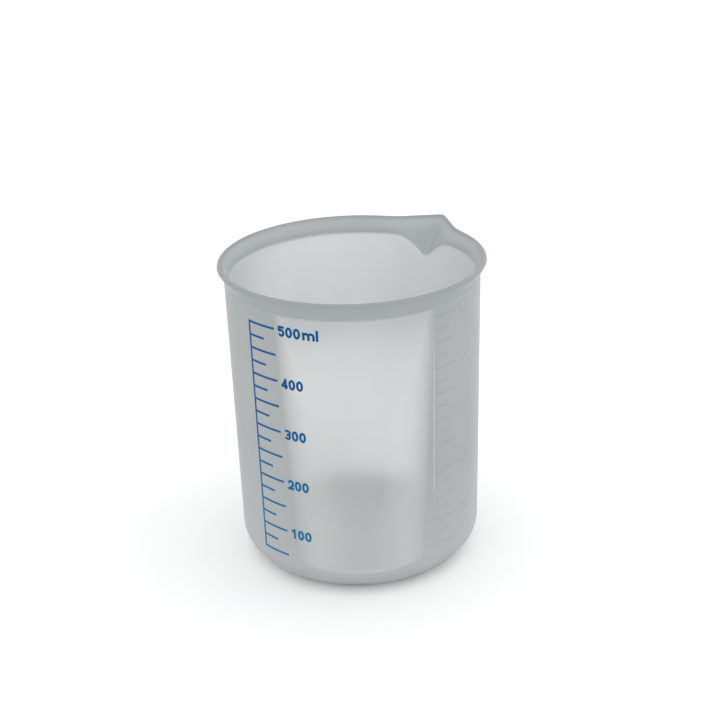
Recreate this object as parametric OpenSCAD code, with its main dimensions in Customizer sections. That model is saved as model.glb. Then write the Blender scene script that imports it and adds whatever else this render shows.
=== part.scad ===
// Low-form 500 ml laboratory beaker in one translucent polypropylene moulding, with a pouring
// spout, a printed scale and a raised moulded scale. Millimetres, +Z up, spout towards +Y.
// The origin is the centre of the base, on the plane that the beaker stands on.

/* [Body] */
// Height from the bench to the top of the rim
body_h = 108; // [105:1:125]
// Outer radius of the wall, carried down to the bench plane
base_r = 42.3; // [41:0.1:42.9]
// Outer radius of the wall where the flare starts
top_r = 43.5; // [43:0.1:45]
// Wall thickness
wall_t = 1.7; // [1.2:0.1:2]
// Floor thickness
floor_t = 2.2; // [1.5:0.1:3]
// Outer radius of the rounded bottom corner
corner_r = 11; // [8:0.5:13]
// Depth of the shallow hollow under the base
hollow_depth = 0.4; // [0.2:0.1:0.6]
// Radius of the shallow hollow under the base
hollow_r = 27; // [20:1:29]

/* [Rim] */
// Outer radius of the rim
rim_r = 45.6; // [45.4:0.1:47]
// Height of the flare, from the wall up to the top of the rim
flare_h = 5.4; // [4:0.1:8]
// Radius of the rounded lip
lip_r = 1.05; // [0.9:0.05:1.2]

/* [Spout] */
// Distance from the axis to the spout's tip
spout_reach = 54.5; // [52:0.5:58]
// Half of the angle between the spout's sides, seen from above
spout_half_angle = 49; // [42:1:56]
// Depth of the spout's valley below the rim, where it leaves the inside wall
spout_depth = 13.4; // [11:0.1:16]
// Radius of the rounded edge along the spout's outside
spout_nose_r = 2.4; // [1.8:0.1:2.8]
// Radius of the rounded corner along the spout's valley
spout_valley_r = 0.4; // [0.2:0.1:1]

/* [Printed scale] */
// Azimuth of the printed scale's upright line, counted from +X towards +Y
print_az = 258; // [245:1:262]
// Thickness of the printed lines
line_w = 0.7; // [0.3:0.05:0.8]
// Length of the printed lines at every 50 ml
long_mark = 10.9; // [8:0.1:12]
// Length of the printed lines halfway between them
short_mark = 6.3; // [4:0.1:7]
// Height of the numerals
digit_h = 3.7; // [2.5:0.1:4.5]
// Width of one numeral
digit_w = 2.45; // [1.8:0.05:2.8]
// Gap between two numerals
digit_gap = 0.35; // [0.2:0.05:0.6]
// Gap from a printed line to its numerals
label_gap = 1.6; // [0.8:0.1:3]
// How far the middle of the numerals lies below their line
label_drop = 0.35; // [0:0.05:1]
// Thickness of the numerals' strokes
stroke_w = 0.8; // [0.4:0.02:0.9]
// Thickness of the ink film
ink_t = 0.08; // [0.06:0.01:0.2]

/* [Moulded scale] */
// Azimuth of the raised scale's upright line
raised_az = 345; // [335:1:350]
// How far the raised scale stands above the printed one
raised_lift = 1.7; // [0:0.1:2.5]
// Height of the raised lines out of the wall
raised_t = 0.25; // [0.15:0.05:0.4]
// Width of the raised lines
raised_w = 0.45; // [0.3:0.05:0.7]
// Length of the raised lines at every 50 ml
raised_long = 9.6; // [8:0.1:11]
// Length of the raised lines halfway between them
raised_short = 6; // [4:0.1:7]
// How far the raised upright starts ahead of its lines, in degrees of azimuth
raised_lead = 0.6; // [0.3:0.05:2]

/* [Hidden] */
$fn = 96;
long_ml = [50:50:500];
short_ml = [75:50:475];
first_ml = 50;
last_ml = 500;
mm3_per_ml = 1000;
ink = [0.1, 0.34, 0.6];
plastic = [0.82, 0.85, 0.86, 0.6];

// The wall is a cone: its radius grows by draft for each millimetre of height.
flare_z = body_h - flare_h;
draft = (top_r - base_r) / flare_z;
draft_angle = atan(draft);
lip_c = [rim_r - lip_r, body_h - lip_r];
inner_corner_r = corner_r - wall_t;
mm_per_degree = (base_r + top_r) / 2 * PI / 180;
digit_pitch = digit_w + digit_gap;
letter_m_w = 1.7 * digit_w;
// Where the flare's outside meets the rounded lip, and where the inside's two flats on the lip
// meet, as angles on the lip's section
lip_start = -20;
lip_knee = 45;
// Straight pieces in a bottom corner, half of the lip, an edge of the spout and a numeral's bow
arc_steps = 10;
lip_steps = 4;
nose_steps = 6;
bow_steps = 14;
// The figure 0 is a polygon with a vertex every ring_step degrees
ring_step = 15;
// How deep the raised lines start below the wall's surface, and room for cutting tools
bite = 0.3;
clear = 30;

function wall_r(z) = base_r + draft * z;
function corner_centre(r, z) = [wall_r(z) - r / cos(draft_angle), z];
function arc(c, r, from, to, n = arc_steps) =
  [for (i = [0:n]) c + r * [cos(from + (to - from) * i / n), sin(from + (to - from) * i / n)]];

// Height of the liquid for a volume: the rounded corner holds corner_ml, and above it the liquid
// is a frustum whose radius cubed grows in proportion to the volume.
inner_wall_t = wall_t / cos(draft_angle);
corner_z = floor_t + inner_corner_r;
corner_top_r = wall_r(corner_z) - inner_wall_t;
corner_axis_r = corner_top_r - inner_corner_r;
corner_mm3 = PI * inner_corner_r * (pow(corner_axis_r, 2)
  + corner_axis_r * inner_corner_r * PI / 2 + pow(inner_corner_r, 2) * 2 / 3);
function fill_z(ml) =
  corner_z + (pow(pow(corner_top_r, 3)
    + 3 * draft * (ml * mm3_per_ml - corner_mm3) / PI, 1 / 3) - corner_top_r) / draft;

// Outside and inside of the turned body, as half sections.
module outside() {
  c = corner_centre(corner_r, corner_r);
  rotate_extrude() polygon(concat(
    [[0, hollow_depth], [hollow_r - hollow_depth, hollow_depth], [hollow_r, 0]],
    arc(c, corner_r, -90, -draft_angle),
    [[wall_r(flare_z), flare_z],
      [lip_c[0] + lip_r * cos(lip_start), lip_c[1] + lip_r * sin(lip_start)]],
    arc(lip_c, lip_r, 0, 90, lip_steps),
    [[0, body_h]]));
}

module inside() {
  c = [corner_axis_r, corner_z];
  rotate_extrude() polygon(concat(
    [[0, floor_t]],
    arc(c, inner_corner_r, -90, -draft_angle),
    [[wall_r(flare_z) - inner_wall_t, flare_z],
      [lip_c[0] - lip_r, lip_c[1]]],
    [[lip_c[0] - lip_r * cos(lip_knee), lip_c[1] + lip_r * sin(lip_knee)], [lip_c[0], body_h]],
    [[lip_c[0], body_h + clear], [0, body_h + clear]]));
}

// The spout is a V-shaped trough whose valley leans outwards from the inside wall to the rim.
// Both its faces are flat and v_depth long in plan. nose_r is the radius along its valley or its
// outside edge.
valley_z = body_h - spout_depth;
valley_y = wall_r(valley_z) - inner_wall_t;
nose_gap = spout_nose_r * (1 / sin(spout_half_angle) - 1);
side_t = wall_t / sin(spout_half_angle);
valley_reach = spout_reach + nose_gap - side_t;
lean = atan((valley_reach - valley_y) / spout_depth);
v_half = atan(tan(spout_half_angle) / cos(lean));
v_depth = 16;

module trough(shift, nose_r) {
  c = shift - nose_r / sin(v_half);
  translate([0, valley_y, valley_z]) rotate([-lean, 0, 0]) translate([0, 0, -clear])
    linear_extrude(2 * clear) {
      polygon(concat(
        arc([0, c], nose_r, v_half, 180 - v_half, nose_steps),
        [[-v_depth * tan(v_half), shift - v_depth], [v_depth * tan(v_half), shift - v_depth]]));
    }
}

module spout_shell() {
  intersection() {
    trough(side_t * cos(lean), spout_nose_r * cos(lean));
    translate([-clear, wall_r(body_h) / 2, valley_z - spout_depth])
      cube([2 * clear, spout_reach, 2 * spout_depth]);
  }
}

// A line on the wall: a short band of the cone, from one azimuth over a length of arc.
module wall_band(az, length, z, h, t, sink = 0) {
  angle = length / wall_r(z) * 180 / PI;
  low = z - h / 2;
  high = z + h / 2;
  rotate([0, 0, az]) rotate_extrude(angle = angle) polygon([
    [wall_r(low) - sink, low], [wall_r(low) + t, low],
    [wall_r(high) + t, high], [wall_r(high) - sink, high]]);
}

module raised_scale() {
  z0 = fill_z(first_ml) + raised_lift;
  z1 = fill_z(last_ml) + raised_lift;
  wall_band(raised_az - raised_lead, raised_w, (z0 + z1) / 2, z1 - z0, raised_t, bite);
  for (ml = long_ml)
    wall_band(raised_az, raised_long, fill_z(ml) + raised_lift, raised_w, raised_t, bite);
  for (ml = short_ml)
    wall_band(raised_az, raised_short, fill_z(ml) + raised_lift, raised_w, raised_t, bite);
}

module vessel() {
  color(plastic) difference() {
    union() {
      outside();
      difference() {
        spout_shell();
        translate([0, 0, body_h]) cylinder(r = 2 * rim_r, h = clear);
      }
      raised_scale();
    }
    inside();
    trough(0, spout_valley_r);
  }
}

// Printed lines: the upright, and one at each volume.
module printed_marks(volumes, length) {
  for (ml = volumes) wall_band(print_az, length, fill_z(ml), line_w, ink_t);
}

module scale_line() {
  z0 = fill_z(first_ml) - line_w / 2;
  z1 = fill_z(last_ml) + line_w / 2;
  color(ink) wall_band(print_az - line_w / mm_per_degree, line_w, (z0 + z1) / 2, z1 - z0, ink_t);
}

module long_graduations() {
  color(ink) printed_marks(long_ml, long_mark);
}

module short_graduations() {
  color(ink) printed_marks(short_ml, short_mark);
}

// Numerals are drawn as strokes of even width in a box digit_w wide and digit_h high. A stroke
// follows the points of its centre line, and its corners are mitred. Fractions of digit_w and
// digit_h are places in that box.
half = stroke_w / 2;
left = half;
right = digit_w - half;
middle = digit_w / 2;
bow_rx = right - middle;
top = digit_h - half;
slant = 0.1;

function unit(v) = v / norm(v);
function heading(p, i) =
  i == 0 ? unit(p[1] - p[0])
  : i == len(p) - 1 ? unit(p[i] - p[i - 1])
  : unit(unit(p[i] - p[i - 1]) + unit(p[i + 1] - p[i]));
function mitre(p, i) = i == 0 ? 1 : 1 / (heading(p, i) * unit(p[i] - p[i - 1]));
function beside(p, i, d) =
  let (h = heading(p, i)) p[i] + d * mitre(p, i) * [-h[1], h[0]];
function bow(c, rx, ry, from, to, n = bow_steps) =
  [for (i = [0:n]) let (a = from + (to - from) * i / n) c + [rx * cos(a), ry * sin(a)]];

module stroke(p) {
  last = len(p) - 1;
  polygon(concat(
    [for (i = [0:last]) beside(p, i, half)],
    [for (i = [last:-1:0]) beside(p, i, -half)]));
}

module digit_0() {
  c = [middle, digit_h / 2];
  last = 360 - ring_step;
  n = last / ring_step;
  difference() {
    polygon(bow(c, middle, digit_h / 2, 0, last, n));
    polygon(bow(c, middle - stroke_w, digit_h / 2 - stroke_w, 0, last, n));
  }
}

module digit_1() {
  stem = 0.62 * digit_w;
  stroke([[stem, 0], [stem, digit_h]]);
  stroke([[0.18 * digit_w, 0.7 * digit_h], [stem, 0.9 * digit_h]]);
}

module digit_2() {
  ry = 0.29 * digit_h;
  stroke(concat(bow([middle, top - ry], bow_rx, ry, 170, -40), [[left + slant, half]]));
  stroke([[0, half], [digit_w, half]]);
}

module digit_3() {
  ry = (top - half) / 4;
  stroke(concat(bow([middle, top - ry], bow_rx, ry, 160, -90), [[0.35 * digit_w, digit_h / 2]]));
  stroke(concat([[0.35 * digit_w, digit_h / 2]], bow([middle, half + ry], bow_rx, ry, 90, -160)));
}

module digit_4() {
  stem = 0.7 * digit_w;
  bar = 0.27 * digit_h;
  stroke([[stem, 0], [stem, digit_h]]);
  stroke([[0, bar], [digit_w, bar]]);
  stroke([[left, bar], [stem, top]]);
}

module digit_5() {
  ry = 0.26 * digit_h;
  stroke([[left, top], [0.95 * digit_w, top]]);
  stroke([[left + slant, digit_h], [left, 0.48 * digit_h]]);
  stroke(bow([middle, half + ry], bow_rx, ry, 145, -160));
}

module digit(n) {
  if (n == 0) digit_0();
  if (n == 1) digit_1();
  if (n == 2) digit_2();
  if (n == 3) digit_3();
  if (n == 4) digit_4();
  if (n == 5) digit_5();
}

module letter_m() {
  x_height = 0.72 * digit_h;
  arch_r = (letter_m_w - stroke_w) / 4;
  stroke([[half, 0], [half, x_height]]);
  for (i = [0, 1]) {
    c = [half + (2 * i + 1) * arch_r, x_height - half - arch_r];
    stroke(concat([[c[0] + arch_r, 0]], bow(c, arch_r, arch_r, 0, 170)));
  }
}

module letter_l() {
  stroke([[half, 0], [half, digit_h]]);
}

// A flat shape of the given width, wrapped on the wall as a film of ink. Its left edge lies
// x millimetres along the arc from the ends of the long printed lines, and its middle at height z.
module printed(x, width, z) {
  z0 = z - digit_h;
  z1 = z + digit_h;
  az = print_az + (long_mark + x + width / 2) / mm_per_degree;
  intersection() {
    rotate_extrude() polygon([[wall_r(z0), z0], [wall_r(z0) + ink_t, z0],
      [wall_r(z1) + ink_t, z1], [wall_r(z1), z1]]);
    rotate([0, 0, az]) translate([base_r - clear / 2, 0, z]) rotate([90, 0, 90])
      linear_extrude(clear) translate([-width / 2, -digit_h / 2]) children();
  }
}

module numeral(ml) {
  digits = [floor(ml / 100), floor(ml / 10) % 10, ml % 10];
  color(ink) for (i = [0:2])
    printed(label_gap + i * digit_pitch, digit_w, fill_z(ml) - label_drop) digit(digits[i]);
}

module unit_ml() {
  start = label_gap + 3 * digit_pitch + digit_gap;
  z = fill_z(last_ml) - label_drop;
  color(ink) printed(start, letter_m_w, z) letter_m();
  color(ink) printed(start + letter_m_w + digit_gap, stroke_w, z) letter_l();
}

vessel();
scale_line();
long_graduations();
short_graduations();
numeral(500);  // numeral_500
numeral(400);  // numeral_400
numeral(300);  // numeral_300
numeral(200);  // numeral_200
numeral(100);  // numeral_100
unit_ml();
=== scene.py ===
"""Looks of the 500 ml beaker: a translucent plastic moulding with a raised and a printed scale.

Shapes are worked out in millimetres, in the row frame: +Z up, spout towards +Y, origin under the
centre of the base. They become metres where a mesh is made. Heights in a material are in metres.
"""

import math

import bmesh
import bpy
import numpy as np
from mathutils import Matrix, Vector
from mathutils.geometry import delaunay_2d_cdt


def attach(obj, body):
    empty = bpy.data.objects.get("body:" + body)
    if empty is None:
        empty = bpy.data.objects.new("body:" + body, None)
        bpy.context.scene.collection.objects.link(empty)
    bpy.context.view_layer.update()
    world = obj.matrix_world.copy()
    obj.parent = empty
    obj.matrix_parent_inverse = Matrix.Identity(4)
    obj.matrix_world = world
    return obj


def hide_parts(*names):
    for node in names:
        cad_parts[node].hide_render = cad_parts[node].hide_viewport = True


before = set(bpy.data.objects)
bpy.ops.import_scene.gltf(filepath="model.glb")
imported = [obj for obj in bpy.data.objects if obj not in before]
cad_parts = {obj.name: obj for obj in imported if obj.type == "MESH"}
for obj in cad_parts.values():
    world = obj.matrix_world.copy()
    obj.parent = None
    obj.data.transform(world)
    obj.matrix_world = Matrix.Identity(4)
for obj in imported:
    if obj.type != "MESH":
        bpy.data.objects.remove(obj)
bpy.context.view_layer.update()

MM = 0.001

# Body, rim and spout, as the CAD part has them. Only HOLLOW_EDGE, the gate mark, SPOUT_BLEND and
# VALLEY_R are this model's own.
BODY_H = 108.0
BASE_R = 42.3
TOP_R = 43.5
WALL_T = 1.7
FLOOR_T = 2.2
CORNER_R = 11.0
HOLLOW_DEPTH = 0.4
HOLLOW_R = 27.0
HOLLOW_EDGE = 1.6
GATE_R = 1.5
GATE_Z = 0.12
GATE_EDGE = 0.35
RIM_R = 45.6
FLARE_H = 5.4
LIP_R = 1.05
SPOUT_REACH = 54.5
SPOUT_HALF = math.radians(49)
SPOUT_DEPTH = 13.4
SPOUT_AZ = 90.0
SPOUT_BLEND = 1.6
NOSE_R = 2.4
VALLEY_R = 1.6

# Scales
PRINT_AZ = 258.0
LINE_W = 0.7
LONG_MARK = 10.9
SHORT_MARK = 6.3
DIGIT_H = 3.7
DIGIT_W = 2.45
DIGIT_GAP = 0.35
LABEL_GAP = 1.6
LABEL_DROP = 0.35
STROKE_W = 0.8
INK_T = 0.08
INK_SINK = 0.02
RAISED_AZ = 345.0
RAISED_LIFT = 1.7
RAISED_T = 0.25
RAISED_W = 0.45
RAISED_LONG = 9.6
RAISED_SHORT = 6.0
RAISED_LEAD = 0.6
RAISED_BEVEL = 0.15
NUMERAL_T = 0.1
NUMERAL_SINK = 0.4
LONG_ML = range(50, 501, 50)
SHORT_ML = range(75, 476, 50)
NUMERAL_ML = range(100, 501, 100)

# Spacing of the points of the meshes, in degrees and then in millimetres
NOSE_TURN, NOSE_STEP = 3, 0.3
SPOUT_TURN, SPOUT_STEP = 26, 0.6
ROUND_STEP = 1.6
LEAST_STEP = 0.19
VALLEY_RISE = 0.7
WALL_RISE = 2.4
LEAST_RISE = 0.3
PITCH = 0.4

# Edges that turn more than this stay sharp
SHARP_ANGLE = math.radians(40)

# How milky the raised marks are, where the rim is 1
LINE_MILK = 0.5
NUMERAL_MILK = 0.3

# Worked out from them
FLARE_Z = BODY_H - FLARE_H
LIP_Z = BODY_H - LIP_R
DRAFT = (TOP_R - BASE_R) / FLARE_Z
DRAFT_ANGLE = math.atan(DRAFT)
INNER_T = WALL_T / math.cos(DRAFT_ANGLE)
INNER_CORNER_R = CORNER_R - WALL_T
CORNER_Z = FLOOR_T + INNER_CORNER_R
MM_PER_DEGREE = math.radians((BASE_R + TOP_R) / 2)
SPOUT_SIN = math.sin(SPOUT_HALF)
VALLEY_Z = BODY_H - SPOUT_DEPTH
VALLEY_START_Z = VALLEY_Z - 3


def wall_r(z):
    """Outer radius of the wall, a cone, at height z."""
    return BASE_R + DRAFT * z


def fill_z(ml):
    """Height of the liquid for a volume: a rounded corner, then a frustum."""
    top_r = wall_r(CORNER_Z) - INNER_T
    axis_r = top_r - INNER_CORNER_R
    corner = math.pi * INNER_CORNER_R * (
        axis_r**2 + axis_r * INNER_CORNER_R * math.pi / 2 + INNER_CORNER_R**2 * 2 / 3
    )
    grown = top_r**3 + 3 * DRAFT * (ml * 1000 - corner) / math.pi
    return CORNER_Z + (grown ** (1 / 3) - top_r) / DRAFT


# ---------------------------------------------------------------- vessel mesh


def soft_max(a, b, width):
    """The larger of a and b, with a fillet where they are closer than width."""
    near = np.maximum(width - np.abs(a - b), 0) / width
    return np.maximum(a, b) + near * near * width / 4


def vee(turn, side, nose):
    """Radius to a V whose sides pass side from the axis and whose corner has the radius nose."""
    turn = np.abs(turn)
    centre = (side - nose) / SPOUT_SIN
    reach = np.sqrt(np.maximum(nose**2 - (centre * np.sin(turn)) ** 2, 0))
    rounded = centre * np.cos(turn) + reach
    tangent = math.atan2(nose * math.cos(SPOUT_HALF), centre + nose * SPOUT_SIN)
    straight = side / np.sin(SPOUT_HALF + np.minimum(turn, math.pi / 2 - SPOUT_HALF))
    return np.where(turn < tangent, rounded, straight)


def flared(z, low, high):
    """Radius of a flare that leaves the wall softly and then runs straight to the lip."""
    bend = 0.3
    t = min(max((z - FLARE_Z) / (LIP_Z - FLARE_Z), 0), 1)
    return low + (high - low) * (math.hypot(t, bend) - bend) / (math.hypot(1, bend) - bend)


def valley_side(z):
    """Distance from the axis to the inner faces of the spout at height z."""
    start = wall_r(VALLEY_Z) - INNER_T
    end = SPOUT_REACH + NOSE_R * (1 / SPOUT_SIN - 1) - WALL_T / SPOUT_SIN
    return (start + (end - start) * (z - VALLEY_Z) / (LIP_Z - VALLEY_Z)) * SPOUT_SIN


def outer_body_r(z):
    """Outer radius without the spout."""
    return flared(z, wall_r(min(z, FLARE_Z)), RIM_R)


def inner_body_r(z):
    """Inner radius without the spout."""
    return flared(z, wall_r(min(z, FLARE_Z)) - INNER_T, RIM_R - 2 * LIP_R)


def outer_r(turn, z):
    return soft_max(outer_body_r(z), vee(turn, valley_side(z) + WALL_T, NOSE_R), SPOUT_BLEND)


def inner_r(turn, z):
    width = 0.5 + SPOUT_BLEND * max(0, (z - VALLEY_Z) / SPOUT_DEPTH)
    return soft_max(inner_body_r(z), vee(turn, valley_side(z), VALLEY_R), width)


def raised_marks():
    """(first azimuth, last azimuth, low z, high z) of each raised line, in degrees and mm."""
    half = RAISED_W / 2
    marks = []
    for volumes, length in ((LONG_ML, RAISED_LONG), (SHORT_ML, RAISED_SHORT)):
        for ml in volumes:
            z = fill_z(ml) + RAISED_LIFT
            marks.append((RAISED_AZ, RAISED_AZ + length / MM_PER_DEGREE, z - half, z + half))
    spine = RAISED_AZ - RAISED_LEAD
    low, high = fill_z(50) + RAISED_LIFT, fill_z(500) + RAISED_LIFT
    marks.append((spine, spine + RAISED_W / MM_PER_DEGREE, low, high))
    return marks


def edges_of(pairs, bevel):
    """Every place where a bevelled step begins or ends."""
    return sorted({round(e + s * bevel / 2, 4) for pair in pairs for e in pair for s in (-1, 1)})


def spaced(fixed, wanted, gap):
    """The fixed values, and the wanted ones that stay at least gap away from every other."""
    kept = list(fixed)
    for value in wanted:
        if all(abs(value - k) >= gap for k in kept):
            kept.append(value)
    return sorted(kept)


def vessel_azimuths():
    marks = raised_marks()
    fixed = edges_of([m[:2] for m in marks], RAISED_BEVEL / MM_PER_DEGREE)
    nose = np.arange(-NOSE_TURN, NOSE_TURN + 0.01, NOSE_STEP) + SPOUT_AZ
    spout = np.arange(-SPOUT_TURN, SPOUT_TURN + 0.01, SPOUT_STEP) + SPOUT_AZ
    wanted = [*nose, *spout, *np.arange(0, 360, ROUND_STEP)]
    return np.array(spaced([a % 360 for a in fixed], wanted, LEAST_STEP))


def wall_heights():
    marks = raised_marks()
    fixed = edges_of([m[2:] for m in marks], RAISED_BEVEL)
    valley = np.arange(VALLEY_START_Z, FLARE_Z, VALLEY_RISE)
    wall = np.arange(CORNER_R + 2, FLARE_Z, WALL_RISE)
    return spaced(fixed, [*valley, *wall], LEAST_RISE)


def raised_height(azimuths, z):
    """How far the raised lines stand out of the wall at each azimuth, at height z."""
    out = np.zeros(len(azimuths))
    for first, last, low, high in raised_marks():
        middle, half = (first + last) / 2, (last - first) / 2
        away = np.abs((azimuths - middle + 180) % 360 - 180)
        across = (half - away) * MM_PER_DEGREE / RAISED_BEVEL + 0.5
        up = ((high - low) / 2 - abs(z - (low + high) / 2)) / RAISED_BEVEL + 0.5
        out = np.maximum(out, np.clip(across, 0, 1) * min(max(up, 0), 1))
    return out * RAISED_T


def vessel_rows(azimuths):
    """(radii, heights) of every ring, from the middle of the underside to the inside floor."""
    turn = np.radians((azimuths - SPOUT_AZ + 180) % 360 - 180)
    even = np.ones(len(azimuths))
    rows = []

    def ring(radius, z):
        rows.append((even * radius, even * z))

    for radius in (0.7, GATE_R):
        ring(radius, GATE_Z)
    for radius in (GATE_R + GATE_EDGE, 5, 12, 19, HOLLOW_R - HOLLOW_EDGE):
        ring(radius, HOLLOW_DEPTH)
    for step in range(1, 7):
        ease = 0.5 - 0.5 * math.cos(math.pi * step / 6)
        ring(HOLLOW_R - HOLLOW_EDGE + HOLLOW_EDGE * step / 6, HOLLOW_DEPTH * (1 - ease))
    centre_r = wall_r(CORNER_R) - CORNER_R / math.cos(DRAFT_ANGLE)
    ring((HOLLOW_R + centre_r) / 2, 0)
    for step in range(17):
        a = math.radians(-90) + (math.radians(90) - DRAFT_ANGLE) * step / 16
        ring(centre_r + CORNER_R * math.cos(a), CORNER_R + CORNER_R * math.sin(a))

    for z in wall_heights():
        rows.append((outer_r(turn, z) + raised_height(azimuths, z), even * z))
    for z in np.linspace(FLARE_Z, LIP_Z, 12):
        rows.append((outer_r(turn, z), even * z))

    out, inn = outer_r(turn, LIP_Z), inner_r(turn, LIP_Z)
    for step in range(1, 12):
        a = math.pi * step / 12
        lip = (out + inn) / 2 + (out - inn) / 2 * math.cos(a)
        rows.append((lip, even * (LIP_Z + LIP_R * math.sin(a))))

    mouth = np.linspace(LIP_Z, VALLEY_START_Z, 26)
    wall = np.linspace(VALLEY_START_Z, CORNER_Z, 22)[1:-1]
    for z in [*mouth, *wall]:
        rows.append((inner_r(turn, z), even * z))
    inner_centre = wall_r(CORNER_Z) - INNER_T - INNER_CORNER_R
    for step in range(17):
        a = -DRAFT_ANGLE - (math.radians(90) - DRAFT_ANGLE) * step / 16
        ring(
            inner_centre + INNER_CORNER_R * math.cos(a),
            CORNER_Z + INNER_CORNER_R * math.sin(a),
        )
    for radius in (24, 16, 8, 2):
        ring(radius, FLOOR_T)
    return rows


def ramp(value, low, high):
    """0 below low, 1 above high, and straight in between."""
    return np.clip((value - low) / (high - low), 0, 1)


def plastic_marks(azimuths, rows):
    """Values at each point, for the material.

    milk is 1 where the plastic is thick, at the rim and the spout, and LINE_MILK on raised lines.
    skin is 1 on the outside of the wall, -1 on its inside and 0 on the base.
    The third value greys the wall by height with haze, as painted shade: outside it grows slowly
    and then reaches 1 just below the flare, where it stands for the flare's shadow, and inside it
    reaches 1 about two thirds of the way up."""
    marks = {"milk": [0.0], "skin": [0.0], "band": [0.0]}
    even = np.ones(len(azimuths))
    inside = False
    for radius, height in rows:
        z = height[0]
        inside = inside or height.max() > BODY_H - 0.001
        if inside:
            spout = (radius - inner_body_r(z)) * 4
            skin = -ramp(z, FLOOR_T + 1, FLOOR_T + 5)
            # Painted shade: haze that greys the inside wall from about two thirds of the way up
            band = ramp(z, 58, 76)
        else:
            spout = (radius - outer_body_r(z)) * 1.6
            skin = ramp(z, 0.5, 3)
            # Painted shade: haze that greys the outside wall more and more upwards, fully just
            # below the flare, for the flare's shadow
            band = max(ramp(z, 99.5, 102.2), 0.68 * ramp(z, 62, 100))
        thick = soft_max(spout - 0.6, even * (z - FLARE_Z), 5.0)
        milk = ramp(thick, 0, 1.2) * (z > VALLEY_Z - 5)
        if not inside and CORNER_R < z < FLARE_Z:
            milk = np.maximum(milk, LINE_MILK * (raised_height(azimuths, z) > 0))
        marks["milk"] += list(milk)
        marks["skin"] += list(even * skin)
        marks["band"] += list(even * band)
    return {name: [*values, 0.0] for name, values in marks.items()}


def vessel_mesh():
    azimuths = vessel_azimuths()
    rows = vessel_rows(azimuths)
    n = len(azimuths)
    way = np.stack([np.cos(np.radians(azimuths)), np.sin(np.radians(azimuths))], 1)
    points = [(0, 0, rows[0][1][0])]
    for radius, z in rows:
        points += [(*p, h) for p, h in zip(way * radius[:, None], z)]
    points.append((0, 0, FLOOR_T))
    last = len(points) - 1
    faces = []
    for i in range(n):
        j = (i + 1) % n
        faces.append((0, 1 + j, 1 + i))
        for row in range(len(rows) - 1):
            a, b = 1 + row * n, 1 + (row + 1) * n
            faces.append((a + i, a + j, b + j, b + i))
        faces.append((last - n + i, last - n + j, last))
    mesh = bpy.data.meshes.new("vessel_body")
    mesh.from_pydata([Vector(p) * MM for p in points], [], faces)
    for name, values in plastic_marks(azimuths, rows).items():
        mesh.attributes.new(name, "FLOAT", "POINT").data.foreach_set("value", values)
    mesh.validate()
    return mesh


# ---------------------------------------------------------------- numerals

HALF = STROKE_W / 2
MIDDLE = DIGIT_W / 2
BOW_X = DIGIT_W - HALF - MIDDLE
TOP = DIGIT_H - HALF
LETTER_M_W = 1.7 * DIGIT_W


def bow(cx, cy, rx, ry, first, last, steps=20):
    """Points along part of an ellipse, between two angles in degrees."""
    angles = np.radians(np.linspace(first, last, steps + 1))
    return [(cx + rx * math.cos(a), cy + ry * math.sin(a)) for a in angles]


def stroke(path):
    """Outline of a line of even width along path, with mitred corners."""
    p = [Vector(q) for q in path]
    ways = [(b - a).normalized() for a, b in zip(p, p[1:])]
    left, right = [], []
    for i, at in enumerate(p):
        before, after = ways[max(i - 1, 0)], ways[min(i, len(ways) - 1)]
        along = (before + after).normalized()
        reach = HALF / along.dot(before)
        side = Vector((-along.y, along.x)) * reach
        left.append(at + side)
        right.append(at - side)
    return [tuple(q) for q in right + left[::-1]]


def ring_strokes(cx, cy, rx, ry):
    """A closed oval stroke, as two halves that overlap a little."""
    return [stroke(bow(cx, cy, rx, ry, start, start + 190, 24)) for start in (-5, 175)]


def digit_strokes(n):
    """Outlines of one numeral, in a box DIGIT_W wide and DIGIT_H high."""
    if n == 0:
        return ring_strokes(MIDDLE, DIGIT_H / 2, MIDDLE - HALF, DIGIT_H / 2 - HALF)
    if n == 1:
        stem = 0.62 * DIGIT_W
        flag = [(0.18 * DIGIT_W, 0.7 * DIGIT_H), (stem, 0.9 * DIGIT_H)]
        return [stroke([(stem, 0), (stem, DIGIT_H)]), stroke(flag)]
    if n == 2:
        ry = 0.29 * DIGIT_H
        neck = bow(MIDDLE, TOP - ry, BOW_X, ry, 170, -40) + [(HALF + 0.1, HALF)]
        return [stroke(neck), stroke([(0, HALF), (DIGIT_W, HALF)])]
    if n == 3:
        ry = (TOP - HALF) / 4
        waist = (0.35 * DIGIT_W, DIGIT_H / 2)
        upper = bow(MIDDLE, TOP - ry, BOW_X, ry, 160, -90) + [waist]
        lower = [waist] + bow(MIDDLE, HALF + ry, BOW_X, ry, 90, -160)
        return [stroke(upper), stroke(lower)]
    if n == 4:
        stem, bar = 0.7 * DIGIT_W, 0.27 * DIGIT_H
        return [
            stroke([(stem, 0), (stem, DIGIT_H)]),
            stroke([(0, bar), (DIGIT_W, bar)]),
            stroke([(HALF, bar), (stem, TOP)]),
        ]
    ry = 0.26 * DIGIT_H
    return [
        stroke([(HALF, TOP), (0.95 * DIGIT_W, TOP)]),
        stroke([(HALF + 0.1, DIGIT_H), (HALF, 0.48 * DIGIT_H)]),
        stroke(bow(MIDDLE, HALF + ry, BOW_X, ry, 145, -160)),
    ]


def letter_m():
    x_height = 0.72 * DIGIT_H
    arch = (LETTER_M_W - STROKE_W) / 4
    shapes = [stroke([(HALF, 0), (HALF, x_height)])]
    for i in range(2):
        cx, cy = HALF + (2 * i + 1) * arch, x_height - HALF - arch
        shapes.append(stroke([(cx + arch, 0)] + bow(cx, cy, arch, arch, 0, 170)))
    return shapes


def letter_l():
    return [stroke([(HALF, 0), (HALF, DIGIT_H)])]


def moved(shapes, x, z):
    return [[(px + x, pz + z) for px, pz in shape] for shape in shapes]


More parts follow.
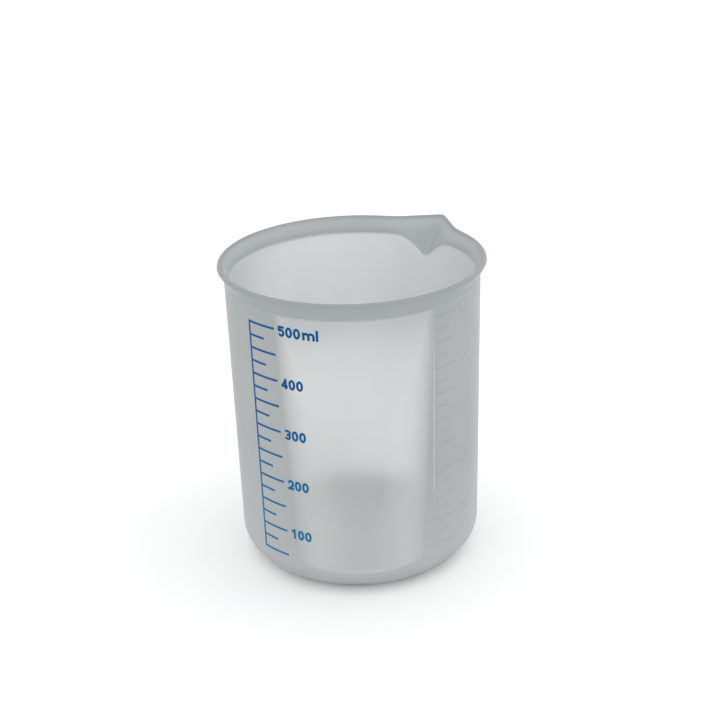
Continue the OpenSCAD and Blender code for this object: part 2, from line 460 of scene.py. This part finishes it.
def number(ml):
    """Outlines of a three-figure number, with its middle at height 0 and its left edge at 0."""
    shapes = []
    for i, figure in enumerate(str(ml)):
        shapes += moved(digit_strokes(int(figure)), i * (DIGIT_W + DIGIT_GAP), -DIGIT_H / 2)
    return shapes


def unit():
    start = 3 * (DIGIT_W + DIGIT_GAP) + DIGIT_GAP
    shapes = moved(letter_m(), start, -DIGIT_H / 2)
    return shapes + moved(letter_l(), start + LETTER_M_W + DIGIT_GAP, -DIGIT_H / 2)


def box_shape(x0, x1, z0, z1):
    """Outline of a rectangle, with points along it that are close enough to follow the wall."""
    across = np.linspace(x0, x1, 2 + int((x1 - x0) / PITCH))
    return [(x, z0) for x in across] + [(x, z1) for x in across[::-1]]


def film(name, shapes, azimuth, z, sink, height):
    """A solid on the wall with these flat outlines, from sink below the surface to height above it.

    Outlines that overlap become one shape. Points at every PITCH let it follow the wall."""
    points, loops = [], []
    for shape in shapes:
        loops.append(list(range(len(points), len(points) + len(shape))))
        points += shape
    low, high = np.min(points, 0), np.max(points, 0)
    grid = [
        (x, y)
        for x in np.arange(low[0] + PITCH / 2, high[0], PITCH)
        for y in np.arange(low[1] + PITCH / 2, high[1], PITCH)
    ]
    points = [Vector(p) for p in [*points, *grid]]
    flat, _, tris, _, _, inside = delaunay_2d_cdt(points, [], loops, 1, 1e-5)
    tris = [t for t, shapes_there in zip(tris, inside) if shapes_there]
    used = sorted({v for t in tris for v in t})
    new = {v: i for i, v in enumerate(used)}
    tris = [[new[v] for v in t] for t in tris]
    n = len(used)
    verts = []
    for out in (-sink, height):
        for v in used:
            a = math.radians(azimuth + flat[v].x / MM_PER_DEGREE)
            h = z + flat[v].y
            r = wall_r(h) + out
            verts.append(Vector((r * math.cos(a), r * math.sin(a), h)) * MM)
    count = {}
    for t in tris:
        for edge in zip(t, t[1:] + t[:1]):
            count[edge] = count.get(edge, 0) + 1
    rim = [e for e in count if e[::-1] not in count]
    faces = [[v + n for v in t] for t in tris] + [t[::-1] for t in tris]
    faces += [(a, b, b + n, a + n) for a, b in rim]
    mesh = bpy.data.meshes.new(name)
    mesh.from_pydata(verts, [], faces)
    mesh.validate()
    return mesh


def smooth(mesh):
    """Smooth shading between sharp edges."""
    mesh.shade_smooth()
    mesh.set_sharp_from_angle(angle=SHARP_ANGLE)


def placed(name, mesh, material):
    """An object for a mesh, smooth and with one material."""
    mesh.materials.clear()
    mesh.materials.append(material)
    smooth(mesh)
    obj = bpy.data.objects.new(name, mesh)
    bpy.context.scene.collection.objects.link(obj)
    return obj


def joined_to(body, mesh):
    """body's mesh with the solid in mesh made one with it."""
    tool = bpy.data.objects.new("raised_tool", mesh)
    bpy.context.scene.collection.objects.link(tool)
    union = body.modifiers.new("raised", "BOOLEAN")
    union.operation, union.solver, union.object = "UNION", "EXACT", tool
    depsgraph = bpy.context.evaluated_depsgraph_get()
    result = bpy.data.meshes.new_from_object(body.evaluated_get(depsgraph))
    body.modifiers.remove(union)
    bpy.data.objects.remove(tool)
    return result


# ---------------------------------------------------------------- materials


class Nodes:
    """A material's node tree, with short ways to add and link nodes."""

    def __init__(self, name):
        self.material = bpy.data.materials.new(name)
        self.material.use_nodes = True
        self.tree = self.material.node_tree
        self.tree.nodes.clear()
        self.out = self.tree.nodes.new("ShaderNodeOutputMaterial")
        self.where = self.tree.nodes.new("ShaderNodeTexCoord").outputs["Object"]

    def add(self, kind, **values):
        node = self.tree.nodes.new(kind)
        for name, value in values.items():
            setattr(node, name, value)
        return node

    def link(self, source, target):
        self.tree.links.new(source, target)

    def up(self):
        """Height above the bench, in metres."""
        split = self.add("ShaderNodeSeparateXYZ")
        self.link(self.where, split.inputs[0])
        return split.outputs["Z"]

    def noise(self, scale, detail, stretch=(1, 1, 1)):
        """Noise with scale features to the metre, from 0 to 1."""
        mapping = self.add("ShaderNodeMapping")
        mapping.inputs["Scale"].default_value = stretch
        self.link(self.where, mapping.inputs["Vector"])
        node = self.add("ShaderNodeTexNoise")
        node.inputs["Scale"].default_value = scale
        node.inputs["Detail"].default_value = detail
        self.link(mapping.outputs["Vector"], node.inputs["Vector"])
        return node.outputs["Fac"]

    def ranged(self, value, low, high, to_low, to_high):
        """value moved from the range low to high to the range to_low to to_high, and kept in it."""
        node = self.add("ShaderNodeMapRange")
        ends = {"From Min": low, "From Max": high, "To Min": to_low, "To Max": to_high}
        for name, end in ends.items():
            node.inputs[name].default_value = end
        self.link(value, node.inputs["Value"])
        return node.outputs["Result"]

    def maths(self, operation, a, b):
        node = self.add("ShaderNodeMath", operation=operation)
        for socket, value in zip(node.inputs, (a, b)):
            if isinstance(value, (int, float)):
                socket.default_value = value
            else:
                self.link(value, socket)
        return node.outputs[0]

    def blend(self, factor, a, b):
        """Colour from a to b as factor goes from 0 to 1."""
        node = self.add("ShaderNodeMix", data_type="RGBA")
        self.link(factor, node.inputs["Factor"])
        for socket, value in ((node.inputs[6], a), (node.inputs[7], b)):
            if isinstance(value, tuple):
                socket.default_value = (*value, 1)
            else:
                self.link(value, socket)
        return node.outputs[2]

    def attribute(self, name):
        return self.add("ShaderNodeAttribute", attribute_name=name).outputs["Fac"]

    def bump(self, height, distance):
        node = self.add("ShaderNodeBump")
        node.inputs["Distance"].default_value = distance
        node.inputs["Strength"].default_value = 1.0
        self.link(height, node.inputs["Height"])
        return node.outputs["Normal"]

    def surfaced(self, shader):
        """The finished material, with this shader on its surface."""
        self.link(shader.outputs[0], self.out.inputs["Surface"])
        return self.material


# Linear colours of the plastic: where it is clear, and then where it is milky, zone by zone.
# Some milky greys paint light and shade: the foot, the inner face of the rim and spout, the inner
# flare and the inside floor are lighter, the outer face of the rim and spout and the lip's top
# darker.
CLEAR = (0.878, 0.890, 0.892)
WALL_GREY = (0.321, 0.342, 0.347)
FOOT_PAINTED_LIGHT_GREY = (0.388, 0.409, 0.412)
RIM_PAINTED_SHADE_GREY = (0.334, 0.360, 0.369)
CROWN_PAINTED_SHADE_GREY = (0.292, 0.314, 0.322)
MOUTH_PAINTED_LIGHT_GREY = (0.386, 0.416, 0.432)
FLARE_PAINTED_LIGHT_GREY = (0.430, 0.455, 0.460)
LIP_PAINTED_SHADE_GREY = (0.275, 0.298, 0.308)
UNDERSIDE_GREY = (0.44, 0.46, 0.465)
INNER_FLOOR_PAINTED_LIGHT_GREY = (0.74, 0.76, 0.765)


def polypropylene():
    """Milky plastic: it shows a blur of what is behind where it is thin and seen head on.

    The index of refraction is far below the real 1.49, so that the blur stays small."""
    k = Nodes("polypropylene")
    cloud = k.noise(24, 2.0, (1, 1, 0.35))
    grain = k.noise(1500, 2.0)
    up = k.up()
    layer = k.add("ShaderNodeLayerWeight")
    layer.inputs["Blend"].default_value = 0.5
    facing = layer.outputs["Facing"]
    behind = k.add("ShaderNodeNewGeometry").outputs["Backfacing"]
    front = k.maths("SUBTRACT", 1.0, behind)
    skin = k.attribute("skin")
    # Painted shade by height, as haze that greys the upper wall inside and out
    band = k.attribute("band")
    thick = k.attribute("milk")

    # Where each zone is, from 0 to 1
    outside = k.maths("MAXIMUM", skin, 0.0)
    lining = k.maths("MULTIPLY", k.maths("MINIMUM", skin, 0.0), -1.0)
    near_base = k.ranged(up, 0.030, 0.020, 0.0, 1.0)
    no_skin = k.maths("SUBTRACT", 1.0, k.maths("ABSOLUTE", skin, 0.0))
    bottom = k.maths("MULTIPLY", no_skin, near_base)

    # Milkiness of the outer skin, the lining, the thick parts and the bottom, with the painted
    # shade by height greying the upper wall
    aslant = k.ranged(facing, 0.14, 0.29, 0.0, 0.93)
    haze = k.maths("MULTIPLY", k.maths("MAXIMUM", aslant, band), front)
    haze = k.maths("MAXIMUM", haze, k.maths("MULTIPLY", behind, 0.12))
    haze = k.maths("MULTIPLY", haze, outside)
    inner_aslant = k.ranged(facing, 0.2, 0.7, 0.04, 0.22)
    inner_haze = k.maths("ADD", inner_aslant, k.maths("MULTIPLY", band, 0.46))
    inner_haze = k.maths("MULTIPLY", k.maths("MULTIPLY", inner_haze, front), lining)
    milk = k.maths("MAXIMUM", k.maths("MAXIMUM", haze, inner_haze), thick)
    milk = k.maths("MAXIMUM", milk, k.maths("MULTIPLY", bottom, 0.8))
    milk = k.maths("ADD", milk, k.ranged(cloud, 0.3, 0.7, -0.05, 0.05))
    milk = k.ranged(milk, 0.0, 1.0, 0.04, 0.97)

    # Grey of the milky plastic, zone by zone, with painted light and painted shade in it
    # Painted light: the thin wall turns lighter towards the foot
    thin_grey = k.blend(k.ranged(up, 0.045, 0.006, 0.0, 1.0), WALL_GREY, FOOT_PAINTED_LIGHT_GREY)
    # Painted shade: the outer face of the rim and spout is greyer than the inner face, and darker
    # again along the top of the lip
    crown = k.ranged(up, 0.1062, 0.1074, 0.0, 1.0)
    outer_grey = k.blend(crown, RIM_PAINTED_SHADE_GREY, CROWN_PAINTED_SHADE_GREY)
    # Painted light on the inner face of the rim and spout and on the inner flare, and painted shade
    # along the inner top of the lip
    flare = k.ranged(up, 0.1032, 0.1056, 0.0, 1.0)
    top = k.ranged(up, 0.1072, 0.1078, 0.0, 1.0)
    inner_grey = k.blend(top, k.blend(flare, MOUTH_PAINTED_LIGHT_GREY, FLARE_PAINTED_LIGHT_GREY), LIP_PAINTED_SHADE_GREY)
    grey = k.blend(thick, thin_grey, k.blend(outside, inner_grey, outer_grey))
    # Painted light: the inside floor is far lighter than the underside
    base_grey = k.blend(k.ranged(up, 0.001, 0.002, 0.0, 1.0), UNDERSIDE_GREY, INNER_FLOOR_PAINTED_LIGHT_GREY)
    grey = k.blend(bottom, grey, base_grey)

    solid = k.add("ShaderNodeBsdfPrincipled")
    k.link(k.blend(milk, CLEAR, grey), solid.inputs["Base Color"])
    k.link(k.maths("SUBTRACT", 1.0, milk), solid.inputs["Transmission Weight"])
    k.link(k.ranged(grain, 0.3, 0.7, 0.29, 0.34), solid.inputs["Roughness"])
    solid.inputs["Specular IOR Level"].default_value = 1.0
    solid.inputs["IOR"].default_value = 1.07
    relief = k.maths("ADD", k.maths("MULTIPLY", grain, 0.2), cloud)
    k.link(k.bump(relief, 0.00006), solid.inputs["Normal"])
    return k.surfaced(solid)


def blue_ink():
    """Screen-printed blue: a thin film, thicker and thinner in patches, paler towards the base."""
    k = Nodes("blue_ink")
    patch = k.noise(420, 4.0)
    speck = k.noise(3800, 2.0)
    # The ink turns paler towards the base
    toward_base = k.ranged(k.up(), 0.070, 0.015, 0, 1)
    patchy = k.ranged(patch, 0.35, 0.65, 0, 1)
    speckled = k.ranged(speck, 0.35, 0.65, 0, 1)
    deep = k.blend(patchy, (0.001, 0.078, 0.225), (0.001, 0.090, 0.270))
    pale = k.blend(speckled, (0.002, 0.150, 0.340), (0.008, 0.185, 0.380))
    solid = k.add("ShaderNodeBsdfPrincipled")
    k.link(k.blend(toward_base, deep, pale), solid.inputs["Base Color"])
    k.link(k.ranged(speck, 0.3, 0.7, 0.34, 0.5), solid.inputs["Roughness"])
    k.link(k.bump(speck, 0.00001), solid.inputs["Normal"])
    solid.inputs["Specular IOR Level"].default_value = 0.05
    return k.surfaced(solid)


def pale_floor():
    k = Nodes("pale_floor")
    solid = k.add("ShaderNodeBsdfPrincipled")
    shade = k.blend(k.noise(3, 2.0), (0.93, 0.93, 0.93), (0.95, 0.95, 0.95))
    k.link(shade, solid.inputs["Base Color"])
    solid.inputs["Roughness"].default_value = 0.8
    return k.surfaced(solid)


# ---------------------------------------------------------------- pieces


def clean(mesh):
    """Merges points that joining the numerals left closer than a micron."""
    shape = bmesh.new()
    shape.from_mesh(mesh)
    bmesh.ops.remove_doubles(shape, verts=shape.verts, dist=0.001 * MM)
    bmesh.ops.dissolve_degenerate(shape, edges=shape.edges, dist=0.0001 * MM)
    shape.to_mesh(mesh)
    shape.free()


def mark_numerals(mesh):
    """Gives the raised numerals the wall's skin and their milk: joining them left both at 0."""
    skins, milks = mesh.attributes["skin"].data, mesh.attributes["milk"].data
    for point, skin, milk in zip(mesh.vertices, skins, milks):
        if skin.value == 0 and CORNER_R < point.co.z / MM < FLARE_Z:
            skin.value, milk.value = 1.0, NUMERAL_MILK


def vessel(material):
    body = placed("vessel_body", vessel_mesh(), material)
    start = RAISED_AZ + (RAISED_LONG + LABEL_GAP) / MM_PER_DEGREE
    for ml in NUMERAL_ML:
        z = fill_z(ml) + RAISED_LIFT - LABEL_DROP
        numeral = film("raised", number(ml), start, z, NUMERAL_SINK, NUMERAL_T)
        body.data = joined_to(body, numeral)
    clean(body.data)
    mark_numerals(body.data)
    smooth(body.data)
    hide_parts("vessel")
    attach(body, "root")


def ink_piece(name, shapes, z, node, material):
    piece = placed(name, film(name, shapes, PRINT_AZ, z, INK_SINK, INK_T), material)
    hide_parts(node)
    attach(piece, "root")


def printed_scale(material):
    half = LINE_W / 2
    low, high = fill_z(50), fill_z(500)
    spine = box_shape(-LINE_W, 0, low - half, high + half)
    ink_piece("ink_scale_line", [spine], 0, "scale_line", material)
    for name, volumes, length, node in (
        ("ink_long_marks", LONG_ML, LONG_MARK, "long_graduations"),
        ("ink_short_marks", SHORT_ML, SHORT_MARK, "short_graduations"),
    ):
        lines = [box_shape(0, length, fill_z(ml) - half, fill_z(ml) + half) for ml in volumes]
        ink_piece(name, lines, 0, node, material)
    start = LONG_MARK + LABEL_GAP
    for ml in NUMERAL_ML:
        shapes = moved(number(ml), start, 0)
        ink_piece(f"ink_{ml}", shapes, fill_z(ml) - LABEL_DROP, f"numeral_{ml}", material)
    ink_piece("ink_ml", moved(unit(), start, 0), fill_z(500) - LABEL_DROP, "unit_ml", material)


# ---------------------------------------------------------------- scene


def floor():
    mesh = bpy.data.meshes.new("floor")
    reach = 4.0
    corners = [(-reach, -reach, 0), (reach, -reach, 0), (reach, reach, 0), (-reach, reach, 0)]
    mesh.from_pydata(corners, [], [(0, 1, 2, 3)])
    obj = placed("floor", mesh, pale_floor())
    obj.location.z = -0.0001


def aimed(obj, place, target, roll=0.0):
    obj.location = place
    look = (Vector(target) - Vector(place)).to_track_quat("-Z", "Y").to_euler()
    obj.rotation_euler = look
    if roll:
        obj.rotation_euler.rotate_axis("Z", math.radians(roll))
    bpy.context.scene.collection.objects.link(obj)


def softbox(name, place, target, width, height, power):
    lamp = bpy.data.lights.new(name, "AREA")
    lamp.shape = "RECTANGLE"
    lamp.size, lamp.size_y, lamp.energy = width, height, power
    aimed(bpy.data.objects.new(name, lamp), place, target)


def lights():
    world = bpy.data.worlds.new("studio")
    bpy.context.scene.world = world
    world.use_nodes = True
    background = world.node_tree.nodes["Background"]
    background.inputs["Color"].default_value = (1, 1, 1, 1)
    background.inputs["Strength"].default_value = 1.14
    softbox("overhead", (0.45, 0.25, 0.9), (0, 0, 0.05), width=0.6, height=0.6, power=0.9)


def camera():
    """The photograph's viewpoint: distance, direction and roll round the beaker's middle."""
    distance = 0.5013
    azimuth, elevation = math.radians(38.5), math.radians(23.62)
    target = Vector((0.00117, 0.00093, 0.06978))
    flat = distance * math.cos(elevation)
    rise = distance * math.sin(elevation)
    back = Vector((math.sin(azimuth) * flat, -math.cos(azimuth) * flat, rise))
    data = bpy.data.cameras.new("camera")
    data.lens = 71.98
    data.sensor_width = 36
    data.clip_start, data.clip_end = 0.01, 20
    obj = bpy.data.objects.new("camera", data)
    aimed(obj, target + back, target, roll=-1.95)
    bpy.context.scene.camera = obj


camera()
floor()
lights()
vessel(polypropylene())
printed_scale(blue_ink())
bpy.context.scene.view_settings.view_transform = "Standard"
